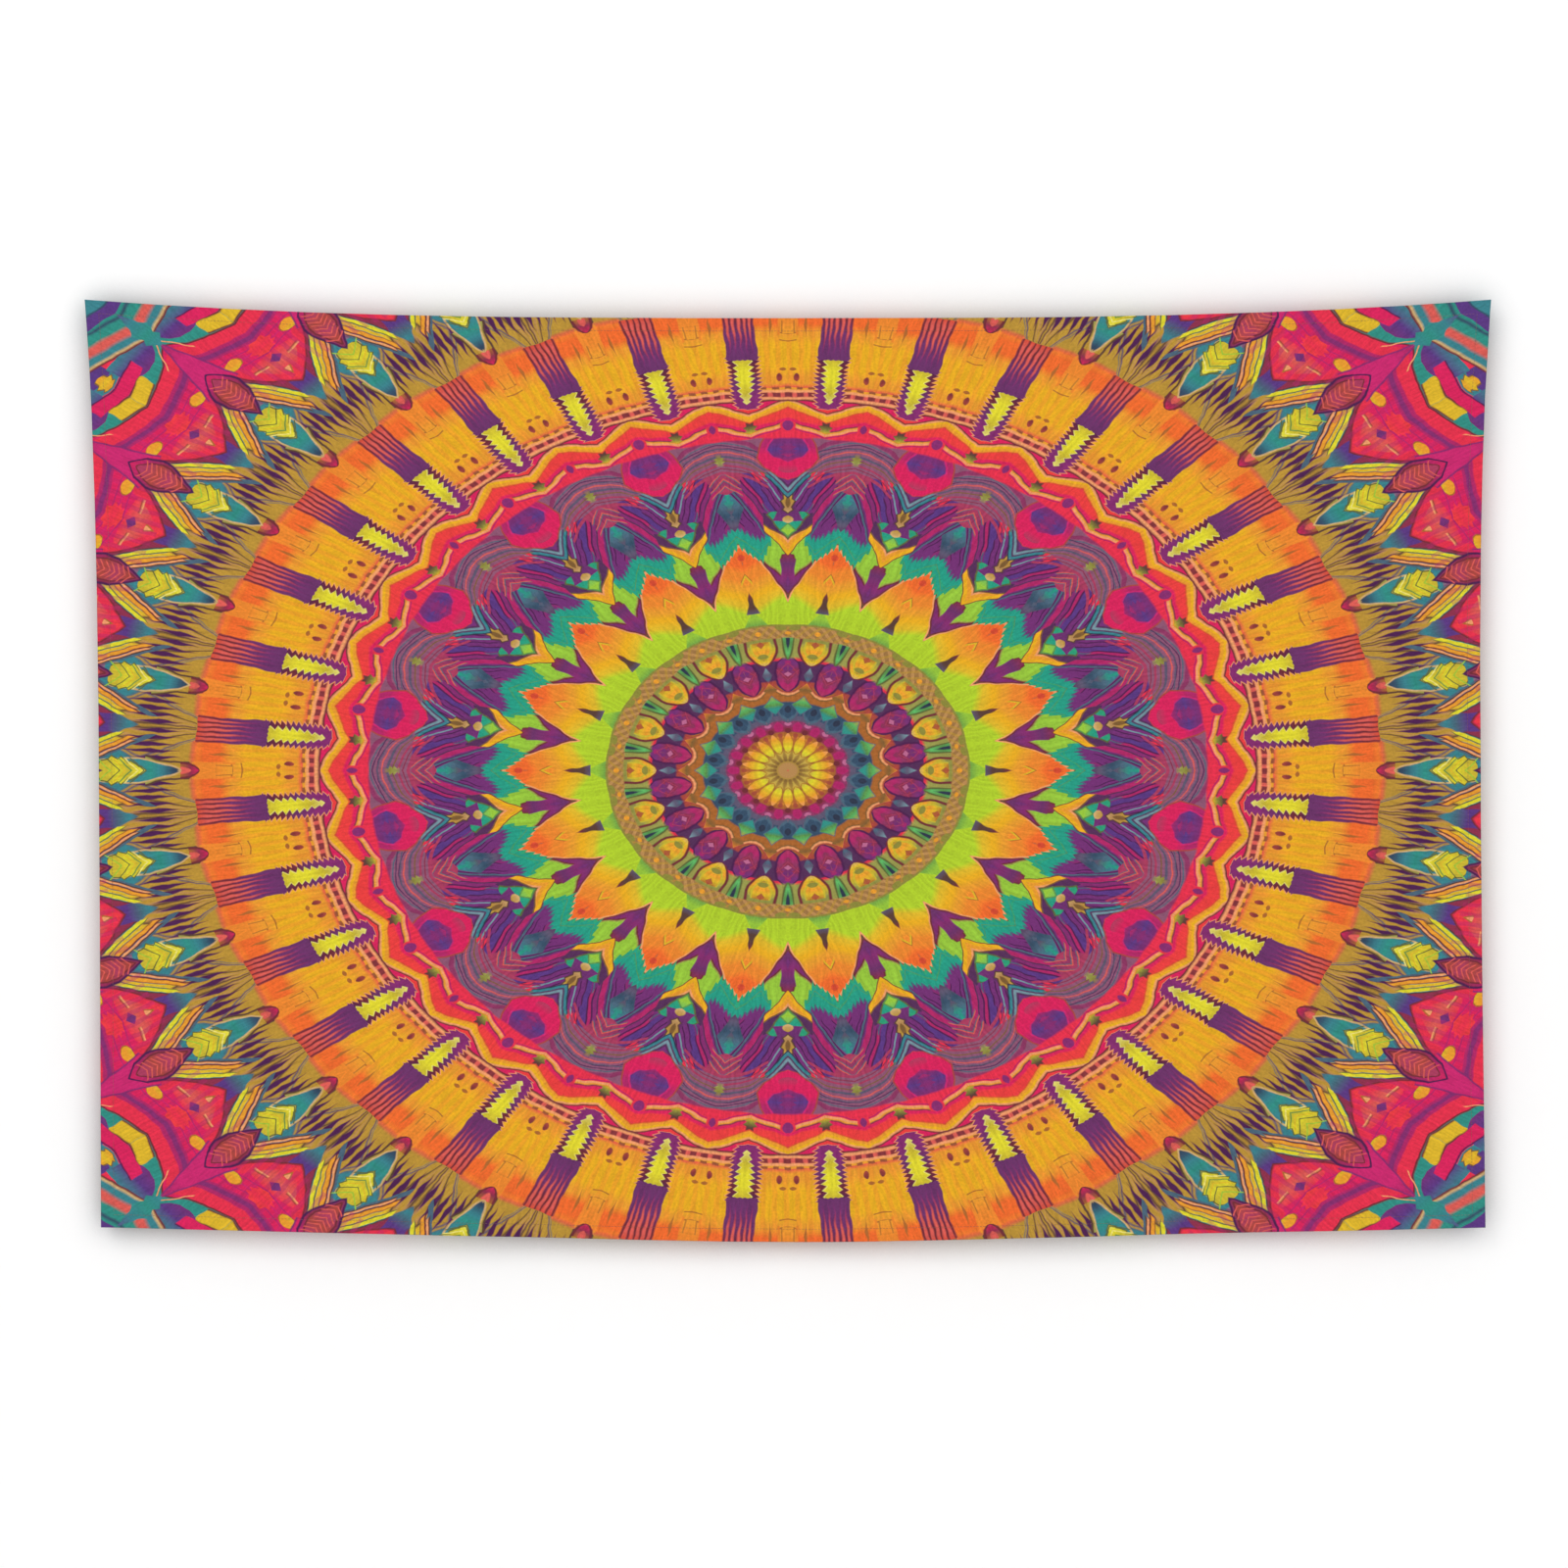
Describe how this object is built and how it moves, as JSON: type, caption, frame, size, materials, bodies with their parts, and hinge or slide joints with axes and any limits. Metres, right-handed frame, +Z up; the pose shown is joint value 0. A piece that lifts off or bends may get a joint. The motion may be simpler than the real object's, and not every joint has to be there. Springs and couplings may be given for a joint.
{
  "type": "tapestry wall hanging",
  "caption": "Wide landscape cloth wall hanging with turned and sewn hems all round, hung on a wall by a small flat ring sewn behind each top corner.",
  "frame": {"origin": "midway between the centres of the two hanging rings, in the plane of the rings' back faces, which is the wall's surface", "axes": "+X to the right as seen from the front, +Z up, -Y out of the wall, so the printed face looks along -Y"},
  "size_m": [1.516, 0.0036, 1.016],
  "materials": {
    "printed_cloth": "matte",
    "hem_cloth": "matte",
    "sewing_thread": "matte",
    "ring_brass": "satin"
  },
  "bodies": {
    "top_band": {"panel_top_strip": "printed_cloth", "top_hem": "hem_cloth", "left_hem_top_end": "hem_cloth", "right_hem_top_end": "hem_cloth", "top_hem_seam": "sewing_thread", "left_ring_tack": "sewing_thread", "right_ring_tack": "sewing_thread"},
    "panel": {"printed_panel": "printed_cloth", "left_hem": "hem_cloth", "right_hem": "hem_cloth", "bottom_hem": "hem_cloth", "left_hem_seam": "sewing_thread", "right_hem_seam": "sewing_thread", "bottom_hem_seam": "sewing_thread"},
    "left_ring": {"left_hanging_ring": "ring_brass"},
    "right_ring": {"right_hanging_ring": "ring_brass"}
  },
  "joints": [
    {"name": "panel_lift", "type": "hinge", "parent": "top_band", "child": "panel", "pos_m": [0, -0.00285, -0.032], "axis": [-1, 0, 0], "range_deg": [0, 90]},
    {"name": "left_ring_flip", "type": "hinge", "parent": "top_band", "child": "left_ring", "pos_m": [-0.736, -0.0006, -0.0078], "axis": [-1, 0, 0], "range_deg": [0, 170]},
    {"name": "right_ring_flip", "type": "hinge", "parent": "top_band", "child": "right_ring", "pos_m": [0.736, -0.0006, -0.0078], "axis": [-1, 0, 0], "range_deg": [0, 170]}
  ]
}
